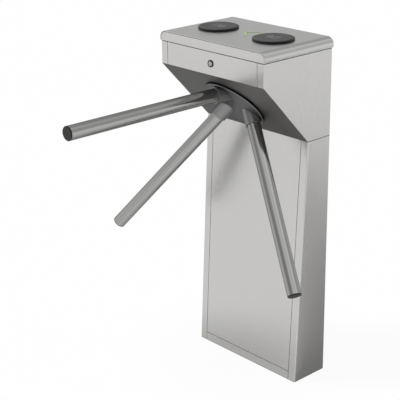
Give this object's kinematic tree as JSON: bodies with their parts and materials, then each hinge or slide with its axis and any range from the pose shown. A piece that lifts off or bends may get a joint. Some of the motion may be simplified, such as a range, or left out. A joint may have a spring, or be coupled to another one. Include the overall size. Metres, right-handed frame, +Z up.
{
  "type": "tripod turnstile",
  "caption": "Waist-high tripod turnstile: stainless pedestal cabinet with sloped face, tube arms on a turning hub, hinged lid with card readers.",
  "frame": {"origin": "on the floor, at the centre of the anchor holes in the base plate", "axes": "+Z up, -Y towards the passage (the level arm points along -Y), +X to the right for someone facing the back of the cabinet from the passage"},
  "size_m": [0.7548, 0.7537, 1.006],
  "materials": {
    "stainless_sheet": "brushed stainless steel",
    "slope_sheet": "dark brushed stainless steel",
    "polished_tube": "polished stainless steel",
    "hub_alloy": "dark polished casting",
    "lock_metal": "plated",
    "machined_steel": "zinc plated",
    "black_plastic": "moulded",
    "reader_plastic": "fine grain",
    "control_plastic": "moulded",
    "supply_case": "perforated case",
    "black_rubber": "matt",
    "green_lens": "translucent"
  },
  "bodies": {
    "cabinet": {"pedestal_side_left": "stainless_sheet", "pedestal_side_right": "stainless_sheet", "pedestal_front_panel": "stainless_sheet", "pedestal_back_panel": "stainless_sheet", "kick_plate": "stainless_sheet", "head_side_left": "stainless_sheet", "head_side_right": "stainless_sheet", "head_front_plate": "stainless_sheet", "head_back_panel": "stainless_sheet", "lid_hinge_fixed_leaf": "stainless_sheet", "lid_hinge_pin": "stainless_sheet", "back_panel_screws": "stainless_sheet", "slope_panel": "slope_sheet", "lock_body": "lock_metal", "lock_nut": "lock_metal", "base_plate": "machined_steel", "mechanism_front_plate": "machined_steel", "mechanism_rear_plate": "machined_steel", "plate_pillars": "machined_steel", "mechanism_bolts": "machined_steel", "bearing_housings": "machined_steel", "bearing_outer_rings": "machined_steel", "centring_stud": "machined_steel", "centring_spring": "machined_steel", "pawl_stud": "machined_steel", "damper_body": "black_plastic", "solenoid": "black_plastic", "control_box": "control_plastic", "power_supply": "supply_case", "lid_gasket": "black_rubber", "cable_grommet": "black_rubber"},
    "tripod": {"hub_casting": "hub_alloy", "hub_cap": "hub_alloy", "hub_bolt": "machined_steel", "main_shaft": "machined_steel", "bearing_inner_rings": "machined_steel", "lock_wheel": "machined_steel", "drive_gear": "machined_steel", "shaft_nut": "machined_steel", "arm_1": "polished_tube", "arm_2": "polished_tube", "arm_3": "polished_tube", "arm_end_caps": "black_plastic", "arm_plugs": "machined_steel", "arm_bolts": "machined_steel"},
    "lid": {"top_lid": "stainless_sheet", "lid_end_plates": "stainless_sheet", "lid_hinge_moving_leaf": "stainless_sheet", "lid_keeper": "stainless_sheet", "reader_cover_left": "reader_plastic", "reader_cover_right": "reader_plastic", "reader_rims": "black_plastic", "reader_modules": "reader_plastic", "indicator_lens": "green_lens"},
    "lock": {"lock_plug": "lock_metal", "lock_cam": "lock_metal"},
    "pawl": {"lock_pawl": "machined_steel"},
    "plunger": {"solenoid_plunger": "machined_steel"},
    "damper_gear": {"damper_pinion": "machined_steel"},
    "centring_gear": {"centring_pinion": "machined_steel"}
  },
  "joints": [
    {"name": "tripod_spin", "type": "hinge", "parent": "cabinet", "child": "tripod", "pos_m": [0, -0.10782, 0.81197], "axis": [0, -0.7254, -0.6884], "continuous": true, "deforming": ["centring_spring"]},
    {"name": "centring_spin", "type": "hinge", "parent": "cabinet", "child": "centring_gear", "pos_m": [0, 0.00825, 0.83348], "axis": [0, -0.7254, -0.6884], "continuous": true},
    {"name": "damper_spin", "type": "hinge", "parent": "cabinet", "child": "damper_gear", "pos_m": [0, -0.08027, 0.92676], "axis": [0, -0.7254, -0.6884], "continuous": true},
    {"name": "lid_open", "type": "hinge", "parent": "cabinet", "child": "lid", "pos_m": [0, 0.071, 0.971], "axis": [-1, 0, 0], "range_deg": [0, 95]},
    {"name": "lock_turn", "type": "hinge", "parent": "cabinet", "child": "lock", "pos_m": [0, -0.198, 0.9385], "axis": [0, 1, 0], "range_deg": [0, 90]},
    {"name": "pawl_swing", "type": "hinge", "parent": "cabinet", "child": "pawl", "pos_m": [-0.05575, -0.06884, 0.89583], "axis": [0, -0.7254, -0.6884], "range_deg": [0, 9], "stiffness_Nm_per_rad": 0.3, "springref_deg": -5.73},
    {"name": "plunger_slide", "type": "slide", "parent": "cabinet", "child": "plunger", "axis": [-1, 0, 0], "range_m": [0, 0.0045]}
  ],
  "couplings": [
    {"joint": "centring_spin", "follows": "tripod_spin", "ratio": -3},
    {"joint": "damper_spin", "follows": "tripod_spin", "ratio": -3},
    {"joint": "plunger_slide", "follows": "pawl_swing", "m_per_rad": 0.028}
  ]
}
